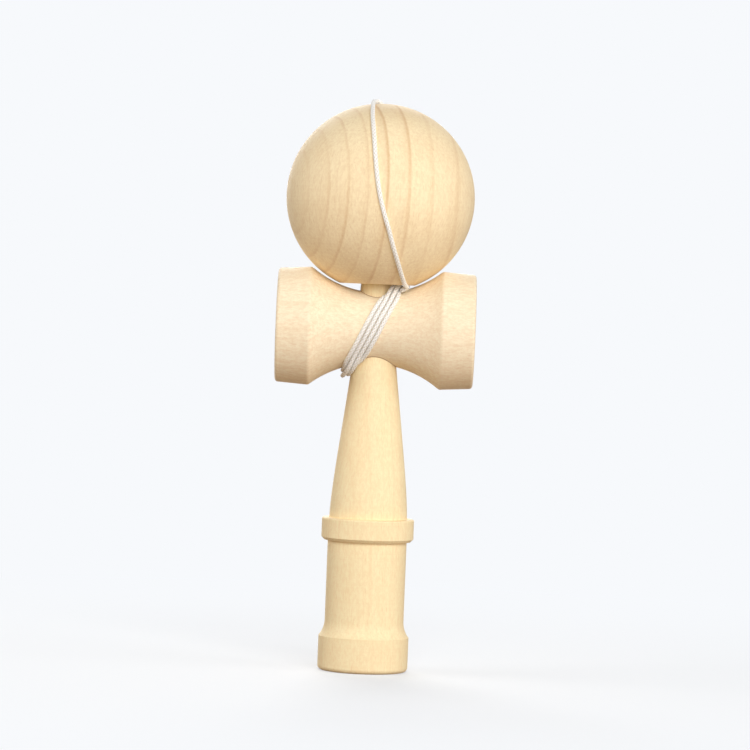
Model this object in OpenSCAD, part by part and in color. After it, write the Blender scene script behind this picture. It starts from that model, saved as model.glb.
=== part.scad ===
// Cup and ball toy of turned wood: a handle with a spike and a base cup, a crosspiece with two
// more cups pushed onto the handle, and a drilled ball on a string that rests on the spike.
// The origin is the middle of the base, on the surface that the toy stands on.
// X runs along the crosspiece, Z runs up the handle, and the front is towards -Y.

/* [Ball] */
// Diameter of the ball
ball_d = 60; // [56:0.5:66]
// Diameter of the hole for the spike
spike_hole_d = 17; // [15:0.5:19]
// Depth of the spike hole, from the lowest point of the full sphere
spike_hole_depth = 44; // [43:0.5:50]
// Diameter of the bevelled mouth of the spike hole
mouth_d = 24; // [22:0.5:26]
// Height of the bevel at the mouth
mouth_bevel_h = 4; // [2:0.5:6]
// Diameter of the string hole through the top of the ball
ball_string_hole_d = 3; // [2.4:0.1:4]
// Depth of the bevel around the string hole
ball_string_bevel_h = 1.5; // [0.6:0.1:2.4]
// Gap between the mouth of the resting ball and the crosspiece
ball_seat_gap = 0.4; // [0.3:0.1:1.5]

/* [Handle] */
// Diameter of the band around the base cup
base_d = 28.8; // [27:0.2:34]
// Height of the band around the base cup
base_band_h = 11; // [8:0.5:15]
// Height of the hollow flare between the band and the waist
base_flare_h = 5; // [3:0.5:9]
// Rounding of the bottom edge
base_round = 1.5; // [0.5:0.1:1.8]
// Diameter of the mouth of the base cup
base_cup_d = 22; // [18:0.5:23]
// Depth of the base cup
base_cup_depth = 6.5; // [5:0.5:9]
// Diameter of the waist between the base and the collar
waist_d = 25.2; // [22:0.2:26]
// Height of the waist's top above the standing surface
collar_z = 41.6; // [36:0.2:48]
// Height of the collar
collar_h = 7.2; // [5:0.2:9]
// Diameter of the collar
collar_d = 29.4; // [27:0.2:33]
// Height of the bevel at the collar's lower edge
collar_bevel_h = 0.9; // [0.5:0.1:4]
// Width of the bevel at the collar's lower edge
collar_bevel_w = 0.9; // [0.5:0.1:2]
// Rounding of the collar's top edge
collar_round = 0.6; // [0.3:0.1:1]
// Diameter of the grip just above the collar
grip_d = 24.8; // [22:0.2:26]
// Height over which the grip stays full above the collar
grip_shoulder_h = 5.5; // [3:0.5:10]
// Diameter of the handle where it enters the crosspiece
seat_low_d = 14; // [12:0.2:15]
// Diameter of the handle where it leaves the crosspiece
seat_top_d = 10.8; // [9.4:0.2:11.6]
// Length of the spike above the crosspiece
spike_l = 28.7; // [24:0.1:29]
// Diameter of the spike's rounded tip
spike_tip_d = 6.8; // [5:0.2:8]

/* [Crosspiece] */
// Height of the crosspiece's axis above the standing surface
cross_z = 109.4; // [104:0.2:116]
// Length over both cups
cross_l = 63; // [58:0.5:70]
// Diameter of the rim's crest
rim_d = 37.6; // [34:0.2:40]
// Diameter of the rim at its end
rim_end_d = 36.4; // [34:0.2:37.4]
// Rounding of the rim's crest
rim_crest_round = 1.5; // [0.5:0.1:2]
// Rounding of the rim's end
rim_end_round = 1; // [0.3:0.1:1.2]
// Diameter of the crosspiece at its middle
cross_waist_d = 22.8; // [21:0.2:26]
// Radius of the hollow curve between the rims
cross_curve_r = 33; // [30:0.5:40]
// Diameter of the mouth of the big cup
big_cup_d = 31; // [28:0.5:33]
// Depth of the big cup
big_cup_depth = 8; // [6:0.5:10]
// Diameter of the mouth of the small cup
small_cup_d = 27; // [24:0.5:31]
// Depth of the small cup
small_cup_depth = 6.5; // [5:0.5:9]
// Width of the bevel that breaks the edge of each cup's mouth
cup_edge = 0.4; // [0.2:0.1:0.6]
// Clearance between the handle and the crosspiece's bore
seat_clearance = 0.05; // [0.02:0.01:0.2]

/* [String] */
// Diameter of the string
string_d = 1.4; // [1:0.1:1.6]
// Distance between neighbouring turns, along the crosspiece
turn_pitch = 2.15; // [2.1:0.05:2.3]
// Gap between the string and the wood it lies on
string_gap = 0.3; // [0.2:0.05:0.5]
// Extra room between the lowest turns and the grip, which widens below them
grip_room = 0.25; // [0.2:0.05:0.6]
// Slope of the string hole into the crosspiece, above level
tail_angle = 42; // [38:1:46]
// Diameter of the string hole in the crosspiece and the handle
tail_hole_d = 2.6; // [2.2:0.1:3]
// Depth of the bevel around the string hole in the crosspiece
tail_bevel_h = 1.2; // [0.8:0.1:2]
// Diameter of each knot
knot_d = 4; // [3.4:0.1:4.4]
// Depth of the flat where the string enters each knot
knot_flat = 0.4; // [0.3:0.1:0.6]
// Clearance around the knot in its pocket in the handle
knot_clearance = 0.3; // [0.2:0.1:0.6]
// Distance of the pocket's floor from the handle's axis
pocket_floor = 3.4; // [2.6:0.1:3.8]
// Diameter of the bead inside the ball
bead_d = 7; // [6:0.2:8]
// Height of the bead
bead_h = 5.6; // [4.8:0.2:6]
// Diameter of the hole through the bead
bead_hole_d = 2.2; // [2:0.1:3]
// Gap between the bead and the wood or the knot that it rests on
bead_gap = 0.3; // [0.2:0.1:0.6]

/* [Hidden] */
$fn = 96;

handle_colour = [0.96, 0.87, 0.68];
crosspiece_colour = [0.94, 0.83, 0.67];
ball_colour = [0.92, 0.80, 0.63];
bead_colour = [0.86, 0.73, 0.53];
string_colour = [0.96, 0.95, 0.92];

// Margin by which a cut runs past the face that it opens
cut = 2;
arc_steps = 10;

ball_r = ball_d / 2;
mouth_r = mouth_d / 2;
spike_hole_r = spike_hole_d / 2;
base_r = base_d / 2;
waist_r = waist_d / 2;
collar_r = collar_d / 2;
collar_top = collar_z + collar_h;
grip_r = grip_d / 2;
seat_low_r = seat_low_d / 2;
seat_top_r = seat_top_d / 2;
tip_r = spike_tip_d / 2;
cross_end = cross_l / 2;
rim_r = rim_d / 2;
rim_end_r = rim_end_d / 2;
cross_waist_r = cross_waist_d / 2;
curve_x = cross_waist_r + cross_curve_r;
string_r = string_d / 2;

// The handle wedges in the crosspiece between these two heights.
seat_low_z = cross_z - cross_waist_r;
seat_top_z = cross_z + cross_waist_r;
tip_z = seat_top_z + spike_l;

// Radius of the crosspiece's hollow middle at a distance x from its centre.
function saddle_r(x) = curve_x - sqrt(cross_curve_r ^ 2 - x ^ 2);

// The ball rests with its mouth on the saddle, and the bead hangs from the roof of its hole.
mouth_drop = sqrt(ball_r ^ 2 - mouth_r ^ 2);
ball_z = cross_z + saddle_r(mouth_r) + mouth_drop + ball_seat_gap;
mouth_z = ball_z - mouth_drop;
roof_z = ball_z - ball_r + spike_hole_depth;
bead_z = roof_z - bead_gap - bead_h / 2;
bead_knot_top = bead_z - bead_h / 2 - bead_gap;

function smooth(t) = let (c = max(0, min(1, t))) c * c * (3 - 2 * c);
function unit(v) = v / norm(v);
function arc(centre, r, from, to, steps = arc_steps) =
    [for (i = [0:steps]) let (a = from + (to - from) * i / steps) centre + r * [cos(a), sin(a)]];
function quadratic(a, b, c, steps = arc_steps) =
    [for (i = [0:steps]) let (t = i / steps) (1 - t) ^ 2 * a + 2 * t * (1 - t) * b + t ^ 2 * c];
function cubic(a, b, c, d, steps) =
    [for (i = [1:steps]) let (t = i / steps, s = 1 - t)
        s ^ 3 * a + 3 * s ^ 2 * t * b + 3 * s * t ^ 2 * c + t ^ 3 * d];

// Radius of the sphere whose cap has this mouth radius and depth.
function cap_r(mouth, depth) = (mouth ^ 2 + depth ^ 2) / (2 * depth);

// A cup turned into a face at z = 0, with its hollow towards +Z and the edge of its mouth broken.
module cup_cut(mouth_d, depth) {
    r = cap_r(mouth_d / 2, depth);
    translate([0, 0, depth - r]) sphere(r);
    translate([0, 0, -cut])
        cylinder(r1 = mouth_d / 2 + cup_edge + cut, r2 = mouth_d / 2, h = cut + cup_edge);
}

// Handle

flare_w = base_r - waist_r;
flare_r = cap_r(base_flare_h, flare_w);
flare_end = asin(base_flare_h / flare_r);
shoulder = [grip_r, collar_top + grip_shoulder_h];
seat_low = [seat_low_r, seat_low_z];
// Share of the straight taper that the curve of the grip's shoulder takes up
shoulder_share = 0.37;

// Radius of the straight part of the grip at a height.
function grip_taper_r(z) = grip_r + (seat_low_r - grip_r) * (z - shoulder.y) / (seat_low_z - shoulder.y);

handle_outline = concat(
    [[0, 0]],
    arc([base_r - base_round, base_round], base_round, -90, 0),
    arc([waist_r + flare_r, base_band_h + base_flare_h], flare_r, 180 + flare_end, 180),
    [[waist_r, collar_z], [collar_r - collar_bevel_w, collar_z], [collar_r, collar_z + collar_bevel_h]],
    arc([collar_r - collar_round, collar_top - collar_round], collar_round, 0, 90),
    quadratic([grip_r, collar_top], shoulder, shoulder + shoulder_share * (seat_low - shoulder)),
    [seat_low, [seat_top_r, seat_top_z]],
    arc([0, tip_z - tip_r], tip_r, 0, 90)
);

// Places children on the string hole that slopes down from the back of the crosspiece, with +Z
// running outward along the hole from the point where it meets the handle's axis.
module on_tail_hole() {
    translate([0, 0, cross_z]) rotate([tail_angle - 90, 0, 0]) children();
}

module handle() {
    color(handle_colour) difference() {
        rotate_extrude() polygon(handle_outline);
        cup_cut(base_cup_d, base_cup_depth);
        on_tail_hole() {
            translate([0, 0, -pocket_floor - cut]) cylinder(d = tail_hole_d, h = seat_low_d + pocket_floor);
            translate([0, 0, -seat_low_d - pocket_floor])
                cylinder(d = knot_d + 2 * knot_clearance, h = seat_low_d);
        }
    }
}

// Crosspiece

crest_x = rim_r - rim_crest_round;
crest_y = sqrt((cross_curve_r + rim_crest_round) ^ 2 - (curve_x - crest_x) ^ 2);
crest_share = cross_curve_r / (cross_curve_r + rim_crest_round);
crest_touch = [curve_x + crest_share * (crest_x - curve_x), crest_share * crest_y];

// Half of the turned outline, radius against distance from the middle, on one side.
module rim_half() {
    difference() {
        polygon(concat(
            [[0, 0], [rim_r, 0], [rim_r, crest_y]],
            arc([rim_end_r - rim_end_round, cross_end - rim_end_round], rim_end_round, 0, 90),
            [[0, cross_end]]
        ));
        translate([curve_x, 0]) circle(cross_curve_r, $fn = 4 * $fn);
        difference() {
            polygon([crest_touch, [crest_x, crest_y], [rim_r + cut, crest_y], [rim_r + cut, crest_touch.y]]);
            translate([crest_x, crest_y]) circle(rim_crest_round);
        }
    }
}

// The bore is the handle's own taper with the clearance added, run past both sides.
seat_slope = (seat_low_r - seat_top_r) / (seat_top_z - seat_low_z);
bore_run = rim_r - cross_waist_r;

module crosspiece() {
    color(crosspiece_colour) difference() {
        translate([0, 0, cross_z]) rotate([0, 90, 0]) rotate_extrude() {
            rim_half();
            mirror([0, 1]) rim_half();
        }
        translate([-cross_end, 0, cross_z]) rotate([0, 90, 0]) cup_cut(big_cup_d, big_cup_depth);
        translate([cross_end, 0, cross_z]) rotate([0, -90, 0]) cup_cut(small_cup_d, small_cup_depth);
        translate([0, 0, seat_low_z - bore_run]) cylinder(
            r1 = seat_low_r + seat_clearance + seat_slope * bore_run,
            r2 = seat_top_r + seat_clearance - seat_slope * bore_run,
            h = cross_waist_d + 2 * bore_run
        );
        on_tail_hole() {
            cylinder(d = tail_hole_d, h = cross_waist_d);
            translate([0, 0, cross_waist_r - tail_bevel_h]) cylinder(
                d1 = tail_hole_d,
                d2 = tail_hole_d + 2 * (tail_bevel_h + cut),
                h = tail_bevel_h + cut
            );
        }
    }
}

// Ball and bead

module ball() {
    bevel_slope = (mouth_r - spike_hole_r) / mouth_bevel_h;
    below = ball_z - ball_r - cut;
    color(ball_colour) translate([0, 0, ball_z]) difference() {
        sphere(ball_r);
        translate([0, 0, -ball_z]) rotate_extrude() polygon([
            [0, below],
            [mouth_r + bevel_slope * (mouth_z - below), below],
            [spike_hole_r, mouth_z + mouth_bevel_h],
            [spike_hole_r, roof_z],
            [0, roof_z]
        ]);
        cylinder(d = ball_string_hole_d, h = ball_d);
        translate([0, 0, ball_r - ball_string_bevel_h]) cylinder(
            d1 = ball_string_hole_d,
            d2 = ball_string_hole_d + 2 * (ball_string_bevel_h + cut),
            h = ball_string_bevel_h + cut
        );
    }
}

module bead() {
    color(bead_colour) translate([0, 0, bead_z]) difference() {
        intersection() {
            sphere(d = bead_d);
            cylinder(d = bead_d + cut, h = bead_h, center = true);
        }
        cylinder(d = bead_hole_d, h = bead_d, center = true);
    }
}

// A drawn-up knot with a flat at z = 0 where the string enters it.
module knot() {
    color(string_colour) intersection() {
        translate([0, 0, knot_flat - knot_d / 2]) sphere(d = knot_d);
        translate([0, 0, -knot_d]) cylinder(d = knot_d + cut, h = knot_d);
    }
}

module bead_knot() {
    translate([0, 0, bead_knot_top]) knot();
}

module tail_knot() {
    on_tail_hole() translate([0, 0, -pocket_floor - knot_clearance]) knot();
}

// String

// Four turns lie side by side on the front and back of the crosspiece. They lean from the left of
// the handle at the bottom to the right of the spike at the top, where they bunch two over two.
turns = 4;
middle_turn = (turns - 1) / 2;
rings_per_turn = 24;
// Angles round the crosspiece: 0 faces the front, 90 the ball, 180 the back.
start_angle = 75;
tail_side = 180 - tail_angle;
// The last turn ends this far short of the string hole, where its bend begins.
bend_angle = 12;
end_angle = 360 * turns + tail_side - bend_angle;
// The string steps one turn to the left between these angles, on the back.
step_from = 130;
step_to = 218;
// Angles away from level at which the turns begin and end their bunching, above and below.
bunch_above = [36, 76];
bunch_below = [36, 84];
// How nearly the lean of the turns is a straight zigzag: 1 has sharp corners
lean_sharpness = 0.97;

string_lift = string_r + string_gap;
bunch_reach = string_lift + turn_pitch / 2;
lean_top = seat_top_r + bunch_reach;
lean_bottom = -grip_taper_r(seat_low_z - bunch_reach) - bunch_reach - grip_room;
lean_middle = (lean_top + lean_bottom) / 2;
lean_reach = (lean_top - lean_bottom) / 2;

function lean(a) = lean_middle + lean_reach * asin(lean_sharpness * sin(a)) / asin(lean_sharpness);
function bunch_angle(a) = let (
    level = asin(abs(sin(a))),
    range = sin(a) > 0 ? bunch_above : bunch_below
) 90 * smooth((level - range[0]) / (range[1] - range[0]));
function turn_index(t) = let (whole = floor((t - 90) / 360), a = t - 360 * whole)
    whole - 1 + max(0, min(1, (a - step_from) / (step_to - step_from)));

// A turn's place beside the middle of the bundle, and its height over the lowest layer. The outer
// turns slide in under the inner ones as the bundle bunches.
function outer_share(k) = max(0, min(1, abs(middle_turn - k) - 0.5));
function turn_x(k, bunch) = let (side = middle_turn - k) sign(side) * turn_pitch
    * (min(abs(side), 0.5) + outer_share(k) * cos(bunch) + max(0, abs(side) - middle_turn));
function turn_height(k, bunch) = turn_pitch * sin(bunch) * (1 - outer_share(k));

function winding_point(t) = let (
    k = turn_index(t),
    bunch = bunch_angle(t),
    x = lean(t) + turn_x(k, bunch),
    r = saddle_r(x) + string_lift + turn_height(k, bunch)
) [x, -r * cos(t), cross_z + r * sin(t)];

winding_steps = round((end_angle - start_angle) * rings_per_turn / 360);
turn_points = [for (i = [0:winding_steps])
    winding_point(start_angle + (end_angle - start_angle) * i / winding_steps)];

// The first turn begins straight, where the stretch from the ball meets it.
start_way = unit(turn_points[1] - turn_points[0]);
winding_start = turn_points[0] - string_d * start_way;

// The last turn bends into the string hole and runs straight to the knot in the handle.
tail_way = [0, cos(tail_angle), sin(tail_angle)];
// Radius of the bend in string diameters, and the pull that makes its curve nearly round
bend_tightness = 2.2;
round_pull = 0.55;
bend_steps = 6;
bend_r = bend_tightness * string_d;
bend_pull = round_pull * bend_r;
last_point = turn_points[winding_steps];
last_way = unit(last_point - turn_points[winding_steps - 1]);
hole_middle = [0, 0, cross_z];
tail_bend_end = hole_middle + (cross_waist_r + string_lift - bend_r) * tail_way;
tail_end = hole_middle - (pocket_floor + knot_clearance) * tail_way;
tail_bend = cubic(
    last_point, last_point + bend_pull * last_way,
    tail_bend_end + bend_pull * tail_way, tail_bend_end, bend_steps
);
winding_path = concat([winding_start], turn_points, tail_bend, [tail_end]);

// From the knot under the bead, up through the ball, over its front and down to the first turn.
lead_points = [
    [0, 0, 170], [0, 0, 178.4], [-0.45, -0.15, 180.1], [-1.4, -0.6, 181.2], [-2.5, -1.5, 181.8],
    [-3.2, -3.4, 181.7], [-3.5, -6.5, 181.1], [-3.6, -10.2, 180.1], [-3.6, -13.8, 178.6], [-3.5, -18, 176.1],
    [-3.1, -22.2, 172.6], [-2.6, -26, 167.8], [-2, -28.9, 162.2], [-1.2, -30.6, 156.3],
    [-0.1, -31.1, 150.6], [1.4, -30.6, 145.2], [3, -29.1, 140.4], [4.5, -26.6, 135.4],
    [5.9, -23.3, 131.3], [7.2, -18.9, 127.4], [8.2, -14.4, 124.7], [9, -10.6, 123],
    [9.6, -8.2, 122.2]
];
// Straight run of the stretch into the first turn
lead_run = 1.5 * string_d;
lead_path = concat(
    [[0, 0, bead_knot_top]],
    lead_points,
    [winding_start - lead_run * start_way, winding_start]
);

// Least distance between the surfaces of a string and itself, past the points next in line.
next_in_line = 6;
function to_segment(p, a, b) = let (d = b - a, t = max(0, min(1, (p - a) * d / (d * d)))) norm(p - a - t * d);
function least_gap(path, apart) = min([for (i = [0:len(path) - 2]) for (j = [i + apart:1:len(path) - 2])
    to_segment(path[i], path[j], path[j + 1])]) - string_d;
echo(winding_gap_to_itself = least_gap(winding_path, next_in_line));

// A tube along a path, with rings square to it that are carried on without twist.
lead_sides = 8;
winding_sides = 6;
function ways(path) = let (last = len(path) - 1)
    [for (i = [0:last]) unit(path[min(i + 1, last)] - path[max(i - 1, 0)])];
function carried(side, way) = unit(side - (side * way) * way);
first_side = [1, 0, 0];
function sides_along(way) =
    [for (i = 0, s = carried(first_side, way[0]); i < len(way);
        i = i + 1, s = i < len(way) ? carried(s, way[i]) : s) s];

module tube(path, sides) {
    way = ways(path);
    side = sides_along(way);
    last = len(path) - 1;
    points = [for (i = [0:last]) for (j = [0:sides - 1]) let (a = 360 * j / sides)
        path[i] + string_r * (cos(a) * side[i] + sin(a) * cross(way[i], side[i]))];
    walls = [for (i = [0:last - 1]) for (j = [0:sides - 1]) let (
        a = i * sides + j,
        b = i * sides + (j + 1) % sides
    ) each [[a, a + sides, b], [b, a + sides, b + sides]]];
    ends = [for (j = [1:sides - 2]) each [
        [0, j, j + 1],
        [last * sides, last * sides + j + 1, last * sides + j]
    ]];
    polyhedron(points, concat(walls, ends));
}

module string_lead() {
    color(string_colour) tube(lead_path, lead_sides);
}

module string_winding() {
    color(string_colour) tube(winding_path, winding_sides);
}

handle();
crosspiece();
ball();
bead();
bead_knot();
string_lead();
string_winding();
tail_knot();
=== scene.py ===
# Cup and ball toy: the camera, the braided string, the turned wood and a plain studio.
# Everything is in metres, in the frame of the solids: Z up, X along the crosspiece, front at -Y.

from math import asin, cos, degrees, floor, pi, radians, sin, sqrt
from typing import NamedTuple

import bpy
import numpy as np
from mathutils import Matrix, Vector


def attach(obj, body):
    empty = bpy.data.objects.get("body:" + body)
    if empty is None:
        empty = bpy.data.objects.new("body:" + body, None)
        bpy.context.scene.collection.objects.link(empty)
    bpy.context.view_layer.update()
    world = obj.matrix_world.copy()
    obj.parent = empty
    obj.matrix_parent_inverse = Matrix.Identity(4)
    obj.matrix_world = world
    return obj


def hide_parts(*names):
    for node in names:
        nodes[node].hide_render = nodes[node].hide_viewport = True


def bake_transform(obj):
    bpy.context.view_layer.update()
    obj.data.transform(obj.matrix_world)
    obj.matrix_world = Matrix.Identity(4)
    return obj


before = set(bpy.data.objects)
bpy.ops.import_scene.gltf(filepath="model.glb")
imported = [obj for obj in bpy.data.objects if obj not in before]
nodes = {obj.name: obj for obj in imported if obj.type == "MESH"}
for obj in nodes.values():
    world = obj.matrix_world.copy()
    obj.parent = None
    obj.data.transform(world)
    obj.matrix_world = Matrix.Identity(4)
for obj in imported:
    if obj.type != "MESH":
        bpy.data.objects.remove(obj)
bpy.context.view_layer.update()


def add_object(name, data):
    """Puts a new object with this data into the scene."""
    made = bpy.data.objects.new(name, data)
    bpy.context.scene.collection.objects.link(made)
    return made


# Camera: far off and nearly level, rolled because the toy leans to the right in the picture

IMAGE_PX = 750
# Size of a pixel at the toy's axis
PIXEL = 0.000319
SENSOR_MM = 36
CAMERA_DISTANCE = 1.25
CAMERA_TILT = radians(1.3)
CAMERA_ROLL = radians(2.26)
# The point in the middle of the picture
AIM = Vector((0.0004, 0, 0.0945))


def add_camera():
    data = bpy.data.cameras.new("camera")
    data.sensor_width = SENSOR_MM
    data.lens = SENSOR_MM * CAMERA_DISTANCE / (IMAGE_PX * PIXEL)
    tilted = Matrix.Rotation(pi / 2 - CAMERA_TILT, 4, "X")
    rolled = tilted @ Matrix.Rotation(CAMERA_ROLL, 4, "Z")
    place = AIM + tilted @ Vector((0, 0, CAMERA_DISTANCE))
    camera = add_object("camera", data)
    camera.matrix_world = Matrix.Translation(place) @ rolled
    bpy.context.scene.camera = camera


add_camera()


# String route: the solids' own formula and points, drawn up close to the wood

BALL_R = 0.030
BALL_Z = 0.15095
CROSS_Z = 0.1094
CROSS_WAIST_R = 0.0114
CROSS_CURVE_R = 0.033
SEAT_TOP_R = 0.0054
SEAT_LOW_R = 0.007
BEAD_KNOT_TOP = 0.15875
POCKET_FLOOR = 0.0034
KNOT_CLEARANCE = 0.0003

STRING_D = 0.00148
STRING_R = STRING_D / 2
# Gap that keeps the braid just clear of the wood
REST_GAP = 0.00004
# The turns lie closer than in the solids, which need room between them.
TURN_PITCH = 0.00174
TURNS = 4
MIDDLE_TURN = (TURNS - 1) / 2

# Angles round the crosspiece, in degrees: 0 faces the front, 90 the ball, 180 the back
START_ANGLE = 75
TAIL_ANGLE = 42
BEND_ANGLE = 12
END_ANGLE = 360 * TURNS + 180 - TAIL_ANGLE - BEND_ANGLE
# Where the string steps over to the next turn
STEP_FROM = 130
STEP_TO = 218
# Angles above and below the level of the axis over which the turns bunch up
BUNCH_ABOVE = (36, 76)
BUNCH_BELOW = (36, 84)
ANGLE_STEP = 3
# The bundle's lean swings as a sine at 0, and as a zigzag at 1.
LEAN_SHARPNESS = 0.97

STRING_LIFT = STRING_R + REST_GAP
BUNCH_REACH = STRING_LIFT + TURN_PITCH / 2
LEAN_TOP = SEAT_TOP_R + BUNCH_REACH
# Room for the grip, which widens below the lowest turns
GRIP_ROOM = 0.0004
LEAN_BOTTOM = -SEAT_LOW_R - GRIP_ROOM - BUNCH_REACH


def sind(angle):
    return sin(radians(angle))


def cosd(angle):
    return cos(radians(angle))


def clamp(t):
    return min(1, max(0, t))


def smooth(t):
    t = clamp(t)
    return t * t * (3 - 2 * t)


def unit(v):
    return v / np.linalg.norm(v)


def saddle_r(x):
    """Radius of the crosspiece's hollow middle at x."""
    return CROSS_WAIST_R + CROSS_CURVE_R - sqrt(CROSS_CURVE_R ** 2 - x ** 2)


def lean(angle):
    """Place of the bundle along the crosspiece: right of the spike above, left of the handle below."""
    reach = (LEAN_TOP - LEAN_BOTTOM) / 2
    zigzag = asin(LEAN_SHARPNESS * sind(angle)) / asin(LEAN_SHARPNESS)
    return (LEAN_TOP + LEAN_BOTTOM) / 2 + reach * zigzag


def bunch_angle(angle):
    """How far the outer turns have slid under the inner ones, from 0 to 90 degrees."""
    level = degrees(asin(abs(sind(angle))))
    begin, end = BUNCH_ABOVE if sind(angle) > 0 else BUNCH_BELOW
    return 90 * smooth((level - begin) / (end - begin))


def turn_index(angle):
    """Which turn the string is in, with the step to the next turn spread over the back."""
    whole = floor((angle - 90) / 360)
    step = (angle - 360 * whole - STEP_FROM) / (STEP_TO - STEP_FROM)
    return whole - 1 + clamp(step)


def winding_point(angle):
    """A point of the winding. The inner turns lie half a pitch to each side of the bundle's middle."""
    bunch = bunch_angle(angle)
    side = MIDDLE_TURN - turn_index(angle)
    outer = clamp(abs(side) - 0.5)
    beside = min(abs(side), 0.5) + outer * cosd(bunch) + max(0, abs(side) - MIDDLE_TURN)
    x = lean(angle) + (TURN_PITCH * beside if side > 0 else -TURN_PITCH * beside)
    r = saddle_r(x) + STRING_LIFT + TURN_PITCH * sind(bunch) * (1 - outer)
    return np.array([x, -r * cosd(angle), CROSS_Z + r * sind(angle)])


def spline(points, steps=12):
    """A smooth curve through points, with this many steps between each two."""
    p = np.vstack([2 * points[0] - points[1], points, 2 * points[-1] - points[-2]])
    t = np.linspace(0, 1, steps, endpoint=False)[:, None]
    curve = [
        0.5 * (2 * b + (c - a) * t + (2 * a - 5 * b + 4 * c - d) * t ** 2 + (3 * b - a - 3 * c + d) * t ** 3)
        for a, b, c, d in zip(p, p[1:], p[2:], p[3:])
    ]
    return np.vstack(curve + [points[-1:]])


# From the knot under the bead, up through the ball, over its front and down to the first turn
LEAD_POINTS = 0.001 * np.array([
    (0, 0, 170), (0, 0, 178.4), (-0.45, -0.15, 180.1), (-1.4, -0.6, 181.2), (-2.5, -1.5, 181.8),
    (-3.2, -3.4, 181.7), (-3.5, -6.5, 181.1), (-3.6, -10.2, 180.1), (-3.6, -13.8, 178.6), (-3.5, -18, 176.1),
    (-3.1, -22.2, 172.6), (-2.6, -26, 167.8), (-2, -28.9, 162.2), (-1.2, -30.6, 156.3),
    (-0.1, -31.1, 150.6), (1.4, -30.6, 145.2), (3, -29.1, 140.4), (4.5, -26.6, 135.4),
    (5.9, -23.3, 131.3), (7.2, -18.9, 127.4), (8.2, -14.4, 124.7), (9, -10.6, 123),
    (9.6, -8.2, 122.2),
])
# How far the string's stretch over the ball is drawn in at most, until it touches the wood
DRAW_IN = 0.0006
# Straight run into the first turn, and the radius of the bend at the string hole, in string diameters
LEAD_RUN = 2.5
BEND_TIGHTNESS = 2.2
# Pull that makes the bend's curve nearly round, and the steps that it is drawn in
ROUND_PULL = 0.55
BEND_STEPS = 15


def laid_on_ball(points):
    """Points just off the ball, drawn in until the string touches it."""
    centre = np.array([0, 0, BALL_Z])
    away = points - centre
    distance = np.linalg.norm(away, axis=1, keepdims=True)
    contact = BALL_R + STRING_LIFT
    drawn = np.maximum(contact, distance - DRAW_IN)
    return centre + away / distance * np.where(distance > contact, drawn, distance)


def tail_route(last, last_way):
    """The bend into the string hole at the back, and the straight run to the knot in the handle."""
    way = np.array([0, cosd(TAIL_ANGLE), sind(TAIL_ANGLE)])
    middle = np.array([0, 0, CROSS_Z])
    bend_r = BEND_TIGHTNESS * STRING_D
    pull = ROUND_PULL * bend_r
    inner = middle + (CROSS_WAIST_R + STRING_LIFT - bend_r) * way
    end = middle - (POCKET_FLOOR + KNOT_CLEARANCE) * way
    t = np.linspace(0, 1, BEND_STEPS + 1)[1:, None]
    s = 1 - t
    bend = s ** 3 * last + 3 * s ** 2 * t * (last + pull * last_way)
    bend = bend + 3 * s * t ** 2 * (inner + pull * way) + t ** 3 * inner
    return np.vstack([bend, end])


def string_route():
    """The whole string, from the knot in the handle to the knot under the bead."""
    angles = np.arange(START_ANGLE, END_ANGLE + ANGLE_STEP, ANGLE_STEP)
    turns = np.array([winding_point(angle) for angle in angles])
    start_way = unit(turns[1] - turns[0])
    tail = tail_route(turns[-1], unit(turns[-1] - turns[-2]))
    run_in = turns[0] - LEAD_RUN * STRING_D * start_way
    lead = laid_on_ball(spline(np.vstack([[0, 0, BEAD_KNOT_TOP], LEAD_POINTS, run_in])))
    return np.vstack([lead, turns, tail])[::-1]


def resampled(points, spacing):
    """The same polyline with even spacing."""
    length = np.concatenate([[0], np.cumsum(np.linalg.norm(np.diff(points, axis=0), axis=1))])
    even = np.linspace(0, length[-1], round(length[-1] / spacing) + 1)
    return np.stack([np.interp(even, length, points[:, k]) for k in range(3)], axis=1)


# String: a braid of eight strands, four each way

STRANDS_EACH_WAY = 4
BRAID_LAY = 0.0054
BRAID_RELIEF = 0.0002
BRAID_SIDES = 24
BRAID_SPACING = 0.00012
# How full a strand's rounding is, from 1 for a sine to 0 for a flat top
STRAND_FULLNESS = 0.6
# Height of a strand where it comes out from under another, against its height between
STRAND_DIP = 0.55


def braid_height(around, along):
    """Height of the braid's surface, from 0 in its valleys to 1 on its crests."""
    u = STRANDS_EACH_WAY * (around / (2 * pi) + along / BRAID_LAY)
    v = STRANDS_EACH_WAY * (around / (2 * pi) - along / BRAID_LAY)
    u_over = (np.floor(u) + np.floor(v)) % 2 == 0
    across = np.where(u_over, u % 1, v % 1)
    run = np.where(u_over, v % 1, u % 1)
    return np.sin(pi * across) ** STRAND_FULLNESS * (STRAND_DIP + (1 - STRAND_DIP) * np.sin(pi * run))


def carried_sides(way):
    """Directions square to a path that are carried along it without twist."""
    side = np.empty_like(way)
    last = np.array([1.0, 0, 0])
    for i, w in enumerate(way):
        last = unit(last - (last @ w) * w)
        side[i] = last
    return side


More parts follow.
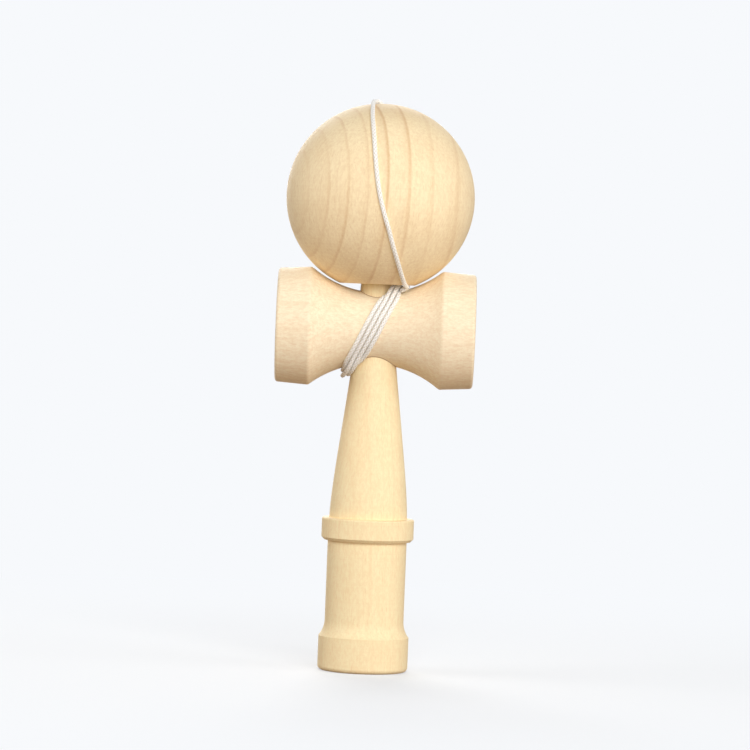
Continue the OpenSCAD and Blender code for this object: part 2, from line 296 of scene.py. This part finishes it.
def braid_tube(name, path, closed=False):
    """A mesh of braided string along a path, with its relief kept as a value on its points."""
    if closed:
        way = np.roll(path, -1, axis=0) - np.roll(path, 1, axis=0)
    else:
        way = np.gradient(path, axis=0)
    way = way / np.linalg.norm(way, axis=1, keepdims=True)
    side = carried_sides(way)
    up = np.cross(way, side)
    rings = len(path)
    around = np.linspace(0, 2 * pi, BRAID_SIDES, endpoint=False)[None, :]
    step = np.linalg.norm(path[1] - path[0])
    height = braid_height(around, step * np.arange(rings)[:, None])
    radius = (STRING_R - BRAID_RELIEF * (1 - height))[:, :, None]
    out = np.cos(around)[:, :, None] * side[:, None, :] + np.sin(around)[:, :, None] * up[:, None, :]
    points = (path[:, None, :] + radius * out).reshape(-1, 3)

    spans = rings if closed else rings - 1
    i = np.arange(spans)[:, None] * BRAID_SIDES
    ahead = (np.arange(spans)[:, None] + 1) % rings * BRAID_SIDES
    j = np.arange(BRAID_SIDES)[None, :]
    k = (j + 1) % BRAID_SIDES
    faces = np.stack([i + j, i + k, ahead + k, ahead + j], axis=2).reshape(-1, 4).tolist()
    if not closed:
        faces.append(list(range(BRAID_SIDES))[::-1])
        faces.append(list(range((rings - 1) * BRAID_SIDES, rings * BRAID_SIDES)))

    mesh = bpy.data.meshes.new(name)
    mesh.from_pydata(points.tolist(), [], faces)
    mesh.attributes.new("relief", "FLOAT", "POINT").data.foreach_set("value", height.ravel())
    mesh.shade_smooth()
    return add_object(name, mesh)


# Knots: drawn-up trefoils in the same braid

KNOT_R = 0.002
KNOT_FLAT = 0.0004
KNOT_STRING_R = 0.0007
KNOT_STEPS = 400
# The knot's curve in its own units: how far it reaches from its middle, and how far it swings up and down
KNOT_REACH = 3
KNOT_DEPTH = 1.6


def knot(name, place):
    """A tied knot whose string enters at the origin of place, from above."""
    size = (KNOT_R - KNOT_STRING_R) / KNOT_REACH
    t = np.linspace(0, 2 * pi, KNOT_STEPS, endpoint=False)
    x = np.sin(t) + 2 * np.sin(2 * t)
    y = np.cos(t) - 2 * np.cos(2 * t)
    z = -KNOT_DEPTH * np.sin(3 * t)
    trefoil = size * np.stack([x, y, z], axis=1)
    trefoil[:, 2] -= KNOT_R - KNOT_FLAT
    made = braid_tube(name, trefoil, closed=True)
    made.data.transform(place)
    return made


route = resampled(string_route(), BRAID_SPACING)
string = braid_tube("string", route)
bead_knot = knot("knot_under_bead", Matrix.Translation((0, 0, BEAD_KNOT_TOP)))
tail_place = Matrix.Translation((0, 0, CROSS_Z)) @ Matrix.Rotation(radians(TAIL_ANGLE - 90), 4, "X")
tail_depth = Matrix.Translation((0, 0, -POCKET_FLOOR - KNOT_CLEARANCE))
tail_knot = knot("knot_in_handle", tail_place @ tail_depth)

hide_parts("string_winding", "string_lead")
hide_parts("bead_knot")
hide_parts("tail_knot")
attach(bead_knot, "string")
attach(tail_knot, "handle")
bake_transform(string)


# Materials: colours, and short calls that build shader nodes

def colour(red, green, blue):
    """A colour written as screen values from 0 to 255, as the shader's linear values."""
    def linear(value):
        share = value / 255
        return share / 12.92 if share <= 0.04045 else ((share + 0.055) / 1.055) ** 2.4
    return (linear(red), linear(green), linear(blue), 1)


class Shader:
    """A tree of shader nodes, built by short calls. An input takes a number, a colour or an output."""

    def __init__(self, owner):
        owner.use_nodes = True
        self.tree = owner.node_tree
        self.tree.nodes.clear()

    def node(self, kind, inputs, **settings):
        made = self.tree.nodes.new("ShaderNode" + kind)
        for name, value in settings.items():
            setattr(made, name, value)
        for name, value in inputs.items():
            if isinstance(value, bpy.types.NodeSocket):
                self.tree.links.new(value, made.inputs[name])
            else:
                made.inputs[name].default_value = value
        return made

    def math(self, operation, a, b=0.0, c=0.0):
        return self.node("Math", {0: a, 1: b, 2: c}, operation=operation).outputs[0]

    def vector(self, operation, a, b=(0, 0, 0)):
        return self.node("VectorMath", {0: a, 1: b}, operation=operation)

    def noise(self, vector, scale, detail=2.0, roughness=0.5):
        inputs = {"Vector": vector, "Scale": scale, "Detail": detail, "Roughness": roughness}
        return self.node("TexNoise", inputs).outputs["Fac"]

    def ramp(self, share, low, high):
        """0 below low, 1 above high, and smooth between them."""
        inputs = {"Value": share, "From Min": low, "From Max": high}
        made = self.node("MapRange", inputs, interpolation_type="SMOOTHSTEP")
        return made.outputs[0]

    def mix(self, share, a, b):
        return self.node("Mix", {0: share, 6: a, 7: b}, data_type="RGBA").outputs[2]

    def tint(self, tone, share, most, other):
        """A tone taken towards another one, by a share of the most that it goes."""
        return self.mix(self.math("MULTIPLY", share, most), tone, other)

    def finish(self, shader, output="Material"):
        self.node("Output" + output, {"Surface": shader})


def new_material(name):
    material = bpy.data.materials.new(name)
    return material, Shader(material)


# Wood: growth rings, and the finer marks that lie over them

class Rings(NamedTuple):
    """Growth rings: a point on the middle of the tree, the turn that brings Z to the way of the grain,
    the radius at which one ring ends, that ring's width, how much it shows, and how fast rings widen."""
    pith: tuple
    turn: tuple
    end: float
    width: float
    share: float
    widening: float = 0.0


class Flecks(NamedTuple):
    """Noise drawn out along the fibres: its length against its width, its scale, its detail, its
    roughness, and the values between which it begins to show and shows fully."""
    length: float
    scale: float
    detail: float
    roughness: float
    shown: tuple


# How far rings sway, and the scales of the noise that sways and fades them
RING_SWAY = 0.001
SWAY_SCALE = 45
FADE_SCALE = 60
FADE_SHOWN = (0.35, 0.6)
# How fast that noise changes along the tree, against across it
ALONG_TREE = 0.35
# Parts of a ring's width: where it begins to darken, where its thin line begins, and where it is darkest
LATE_FROM = 0.3
LINE_FROM = 0.74
DARKEST = 0.9
RISE_SHARE = 0.3
LINE_SHARE = 0.7
# What is left of a ring where it fades, and of the palest ring, and how much chance adds to that
FADED_SHARE = 0.5
PALEST_SHARE = 0.4
CHANCE_SHARE = 0.7

MOTTLE = Flecks(2.2, 1300, detail=3, roughness=0.75, shown=(0.36, 0.64))
FIBRE = Flecks(30, 900, detail=4, roughness=0.65, shown=(0.45, 0.75))
PORE = Flecks(8, 2600, detail=1, roughness=0.5, shown=(0.6, 0.74))
CLOUD_SCALE = 70
CLOUD_DETAIL = 3
CLOUD_SHOWN = (0.4, 0.75)
MARK_SCALE = 1900
MARK_DETAIL = 2
MARK_SHOWN = (0.42, 0.75)
# End grain shows by how squarely a face looks along the fibres.
END_GRAIN_SHOWN = (0.7, 1.0)
# Painted shade in the joint where the handle enters the crosspiece's bore, by distance from the handle's
# taper
SEAT_SHADE_FROM = 0.00015
SEAT_SHADE_TO = 0.0005
PAINTED_SHADE_BROWN = colour(150, 92, 48)

# How far each kind of mark takes the wood towards a darker tone. Clouds are part of the streaks.
STREAK_SHARE = 0.22
CLOUD_SHARE = 0.6
PORE_SHARE = 0.16
MARK_SHARE = 0.035
END_GRAIN_SHARE = 0.15
# How far the painted shade in the joint round the handle darkens the crosspiece
SEAT_SHADE_SHARE = 0.75
# Height of the other marks, against that of the fibres
MARK_HEIGHT = 0.2
PORE_HEIGHT = -0.6
MOTTLE_HEIGHT = -0.3
# Roughness of the smoothest wood, and what the fibres add
WOOD_ROUGHNESS = 0.5
FIBRE_ROUGHNESS = 0.18


def growth_rings(s, log, rings):
    """Share of late wood, which rises through each ring and ends in a thin line."""
    across = s.vector("MULTIPLY", log, (1, 1, 0)).outputs[0]
    slow = s.vector("MULTIPLY", log, (1, 1, ALONG_TREE)).outputs[0]
    sway = s.math("MULTIPLY_ADD", s.noise(slow, SWAY_SCALE), RING_SWAY, -RING_SWAY / 2 - rings.end)
    radius = s.math("ADD", s.vector("LENGTH", across).outputs["Value"], sway)
    slowing = s.math("MULTIPLY_ADD", radius, -rings.widening / rings.width, 1 / rings.width)
    phase = s.math("MULTIPLY", radius, slowing)
    grown = s.math("FRACT", phase)
    chance = s.node("TexWhiteNoise", {"W": s.math("FLOOR", phase)}, noise_dimensions="1D").outputs["Value"]
    rise = s.math("MULTIPLY", s.ramp(grown, LATE_FROM, 1.0), RISE_SHARE)
    edge = s.math("SUBTRACT", 1.0, s.ramp(grown, DARKEST, 1.0))
    line = s.math("MULTIPLY", s.ramp(grown, LINE_FROM, DARKEST), edge)
    late = s.math("MULTIPLY_ADD", line, LINE_SHARE, s.math("MULTIPLY", rise, edge))
    clear = s.ramp(s.noise(slow, FADE_SCALE), *FADE_SHOWN)
    fade = s.math("MULTIPLY_ADD", clear, 1 - FADED_SHARE, FADED_SHARE)
    shown = s.math("MULTIPLY", fade, s.math("MULTIPLY_ADD", chance, CHANCE_SHARE, PALEST_SHARE))
    return s.math("MULTIPLY", s.math("MULTIPLY", late, shown), rings.share)


def stretched_noise(s, log, flecks):
    """Noise whose flecks are longer along the fibres."""
    drawn_out = s.vector("MULTIPLY", log, (1, 1, 1 / flecks.length)).outputs[0]
    return s.noise(drawn_out, flecks.scale, flecks.detail, flecks.roughness)


def tool_marks(s, place, axis):
    """Fine rings left by the lathe, which turns about this axis."""
    along = s.node("SeparateXYZ", {0: place}).outputs[axis]
    inputs = {"W": along, "Scale": MARK_SCALE, "Detail": MARK_DETAIL}
    return s.node("TexNoise", inputs, noise_dimensions="1D").outputs["Fac"]


def end_grain(s, normal, turn):
    """1 on faces that look along the fibres, and 0 on the long sides."""
    grain = s.node("VectorRotate", {"Vector": (0, 0, 1), "Rotation": turn}, rotation_type="EULER_XYZ")
    facing = s.vector("DOT_PRODUCT", normal, grain.outputs[0]).outputs["Value"]
    return s.ramp(s.math("ABSOLUTE", facing), *END_GRAIN_SHOWN)


def seat_joint_shade(s, place):
    """Painted shade: 1 beside the handle's taper, where the joint between crosspiece and handle is darkened,
    and 0 further out.
    """
    slope = (SEAT_TOP_R - SEAT_LOW_R) / (2 * CROSS_WAIST_R)
    middle_r = (SEAT_LOW_R + SEAT_TOP_R) / 2
    height = s.node("SeparateXYZ", {0: place}).outputs["Z"]
    taper = s.math("MULTIPLY_ADD", height, slope, middle_r - slope * CROSS_Z)
    away = s.vector("LENGTH", s.vector("MULTIPLY", place, (1, 1, 0)).outputs[0]).outputs["Value"]
    return s.math("SUBTRACT", 1.0, s.ramp(s.math("SUBTRACT", away, taper), SEAT_SHADE_FROM, SEAT_SHADE_TO))


def wood(name, pale, late, streak, rings, mottling, axis, edge=None):
    """Turned wood: growth rings, mottled grain, long fibres, short pores and fine tool marks.

    mottling is how much the mottles darken the wood, axis is the lathe's axis, and edge makes the share of
    painted shade where another piece enters, if there is one."""
    material, s = new_material(name)
    coordinates = s.node("TexCoord", {}).outputs
    place = coordinates["Object"]
    placing = {"Vector": place, "Location": rings.pith, "Rotation": rings.turn}
    log = s.node("Mapping", placing, vector_type="TEXTURE").outputs[0]

    mottle = s.ramp(stretched_noise(s, log, MOTTLE), *MOTTLE.shown)
    fibre = stretched_noise(s, log, FIBRE)
    pore = s.ramp(stretched_noise(s, log, PORE), *PORE.shown)
    cloud = s.ramp(s.noise(place, CLOUD_SCALE, CLOUD_DETAIL), *CLOUD_SHOWN)
    mark = tool_marks(s, place, axis)

    tone = s.mix(growth_rings(s, log, rings), pale, late)
    streaks = s.math("MULTIPLY_ADD", cloud, CLOUD_SHARE, s.ramp(fibre, *FIBRE.shown))
    tone = s.tint(tone, streaks, STREAK_SHARE, streak)
    tone = s.tint(tone, mottle, mottling, late)
    tone = s.tint(tone, pore, PORE_SHARE, late)
    tone = s.tint(tone, s.ramp(mark, *MARK_SHOWN), MARK_SHARE, late)
    tone = s.tint(tone, end_grain(s, coordinates["Normal"], rings.turn), END_GRAIN_SHARE, late)
    # Painted shade in the joint where another piece enters this one
    if edge:
        tone = s.tint(tone, edge(s, place), SEAT_SHADE_SHARE, PAINTED_SHADE_BROWN)

    height = s.math("MULTIPLY_ADD", mark, MARK_HEIGHT, fibre)
    height = s.math("MULTIPLY_ADD", pore, PORE_HEIGHT, height)
    height = s.math("MULTIPLY_ADD", mottle, MOTTLE_HEIGHT, height)
    bump = s.node("Bump", {"Strength": 0.22, "Distance": 0.0001, "Height": height})
    s.finish(s.node("BsdfPrincipled", {
        "Base Color": tone,
        "Roughness": s.math("MULTIPLY_ADD", fibre, FIBRE_ROUGHNESS, WOOD_ROUGHNESS),
        "Specular IOR Level": 0.2,
        "Normal": bump.outputs[0],
    }).outputs[0])
    return material


# Braid: white on the crests, with painted shade in the valleys, fine filaments and a little soil

CREST_WHITE = colour(254, 253, 250)
# Painted shade in the braid's valleys, where the strands dip under each other
VALLEY_PAINTED_SHADE = colour(190, 177, 155)
FILAMENT_WHITE = colour(228, 223, 212)
SOILED_WHITE = colour(240, 234, 220)
CREST_SHOWN = (0.05, 0.68)
FILAMENT_SCALE = 9000
FILAMENT_SHOWN = (0.5, 0.8)
FILAMENT_SHARE = 0.12
SOIL_SCALE = 160
SOIL_SHOWN = (0.5, 0.8)
SOIL_SHARE = 0.15


def braid_material():
    """White cotton braid with a soft sheen, and shade painted into its valleys by the relief kept on its
    mesh.
    """
    material, s = new_material("white_braid")
    place = s.node("TexCoord", {}).outputs["Object"]
    relief = s.node("Attribute", {}, attribute_name="relief").outputs["Fac"]
    filament = s.noise(place, FILAMENT_SCALE)
    soil = s.noise(place, SOIL_SCALE)
    # Painted shade: darker where the relief is low
    tone = s.mix(s.ramp(relief, *CREST_SHOWN), VALLEY_PAINTED_SHADE, CREST_WHITE)
    tone = s.tint(tone, s.ramp(filament, *FILAMENT_SHOWN), FILAMENT_SHARE, FILAMENT_WHITE)
    tone = s.tint(tone, s.ramp(soil, *SOIL_SHOWN), SOIL_SHARE, SOILED_WHITE)
    bump = s.node("Bump", {"Strength": 0.35, "Distance": 0.00008, "Height": filament})
    s.finish(s.node("BsdfPrincipled", {
        "Base Color": tone,
        "Roughness": 0.75,
        "Specular IOR Level": 0.3,
        "Sheen Weight": 0.25,
        "Sheen Roughness": 0.5,
        "Normal": bump.outputs[0],
    }).outputs[0])
    return material


# Dressing: each piece of wood gets its own tones and rings, and the string and its knots the braid

WITH_Z = (0, 0, 0)
WITH_X = (0, pi / 2, 0)
# The ball's rings lean a little to the right at the top.
BALL_GRAIN = (0, radians(1.4), 0)


def dress(piece, material):
    piece.data.materials.clear()
    piece.data.materials.append(material)


dress(nodes["ball"], wood(
    "ball_wood", pale=colour(254, 235, 195), late=colour(203, 149, 89), streak=colour(228, 194, 148),
    rings=Rings((-0.4, -0.1228, BALL_Z), BALL_GRAIN, end=0.39645, width=0.005, share=0.46, widening=6.8),
    mottling=0.16, axis="Z",
))
dress(nodes["crosspiece"], wood(
    "crosspiece_wood", pale=colour(255, 241, 211), late=colour(218, 166, 111), streak=colour(235, 203, 164),
    rings=Rings((0, 0.05, CROSS_Z - 0.06), WITH_X, end=0, width=0.0034, share=0.12),
    mottling=0.22, axis="X", edge=seat_joint_shade,
))
dress(nodes["handle"], wood(
    "handle_wood", pale=colour(255, 238, 194), late=colour(231, 176, 115), streak=colour(245, 211, 162),
    rings=Rings((0.06, 0.04, 0), WITH_Z, end=0, width=0.0036, share=0.12),
    mottling=0.17, axis="Z",
))
dress(nodes["bead"], wood(
    "bead_wood", pale=colour(214, 178, 128), late=colour(170, 126, 80), streak=colour(198, 160, 112),
    rings=Rings((0.02, 0.01, 0), WITH_Z, end=0, width=0.0021, share=0.5),
    mottling=0.2, axis="Z",
))
braid = braid_material()
for piece in (string, bead_knot, tail_knot):
    dress(piece, braid)


# Studio: a pale floor that fades into a pale surround, a soft key in front and weaker fills round it

BACKGROUND = colour(247, 249, 252)
AMBIENT = (1, 0.96, 0.9, 1)
AMBIENT_STRENGTH = 0.06
FLOOR_PALE = colour(249, 250, 251)
# What the floor throws back at the wood, which in the picture is warm and dim
FLOOR_BOUNCE = (0.26, 0.16, 0.08, 1)
FLOOR_R = 4
FLOOR_SIDES = 64
FADE_FROM = 0.04
FADE_TO = 0.36
# How much of the floor near the toy is background light, which softens the shadow
NEAR_GLOW = 0.5
SOFTBOX_SIZE = 0.9


def studio_light(s):
    """1 for rays that see the background itself: from the camera, by a reflection or through glass."""
    path = s.node("LightPath", {})
    seen = s.math("MAXIMUM", path.outputs["Is Camera Ray"], path.outputs["Is Glossy Ray"])
    return s.math("MAXIMUM", seen, path.outputs["Is Transmission Ray"])


def floor_material():
    material, s = new_material("studio_floor")
    place = s.node("TexCoord", {}).outputs["Object"]
    away = s.vector("LENGTH", place).outputs["Value"]
    seen = studio_light(s)
    fade = s.math("MULTIPLY_ADD", s.ramp(away, FADE_FROM, FADE_TO), 1 - NEAR_GLOW, NEAR_GLOW)
    tone = s.mix(seen, FLOOR_BOUNCE, FLOOR_PALE)
    paint = s.node("BsdfPrincipled", {"Base Color": tone, "Roughness": 0.8, "Specular IOR Level": 0.2})
    glow = s.node("Emission", {"Color": BACKGROUND, "Strength": 1.0})
    glowing = s.math("MULTIPLY", fade, seen)
    s.finish(s.node("MixShader", {0: glowing, 1: paint.outputs[0], 2: glow.outputs[0]}).outputs[0])
    return material


def add_floor():
    around = np.linspace(0, 2 * pi, FLOOR_SIDES, endpoint=False)
    rim = [(FLOOR_R * cos(a), FLOOR_R * sin(a), 0) for a in around]
    mesh = bpy.data.meshes.new("studio_floor")
    mesh.from_pydata(rim, [], [list(range(len(rim)))])
    made = add_object("studio_floor", mesh)
    dress(made, floor_material())


def add_world():
    world = bpy.data.worlds.new("studio")
    bpy.context.scene.world = world
    s = Shader(world)
    soft = s.node("Background", {"Color": AMBIENT, "Strength": AMBIENT_STRENGTH}).outputs[0]
    seen = s.node("Background", {"Color": BACKGROUND, "Strength": 1.0}).outputs[0]
    s.finish(s.node("MixShader", {0: studio_light(s), 1: soft, 2: seen}).outputs[0], "World")


def add_softbox(name, place, power):
    """A square soft lamp that looks at the toy."""
    data = bpy.data.lights.new(name, "AREA")
    data.size = SOFTBOX_SIZE
    data.energy = power
    lamp = add_object(name, data)
    lamp.location = place
    lamp.rotation_euler = (AIM - Vector(place)).to_track_quat("-Z", "Y").to_euler()


add_floor()
add_world()
add_softbox("key", (0.25, -1.15, 0.52), power=13.9)
add_softbox("right_fill", (1.14, -0.41, 0.42), power=5.6)
add_softbox("left_fill", (-1.16, -0.2, 0.52), power=6)
add_softbox("back_fill", (-0.2, 1.2, 0.6), power=13)

bpy.context.scene.view_settings.view_transform = "Standard"
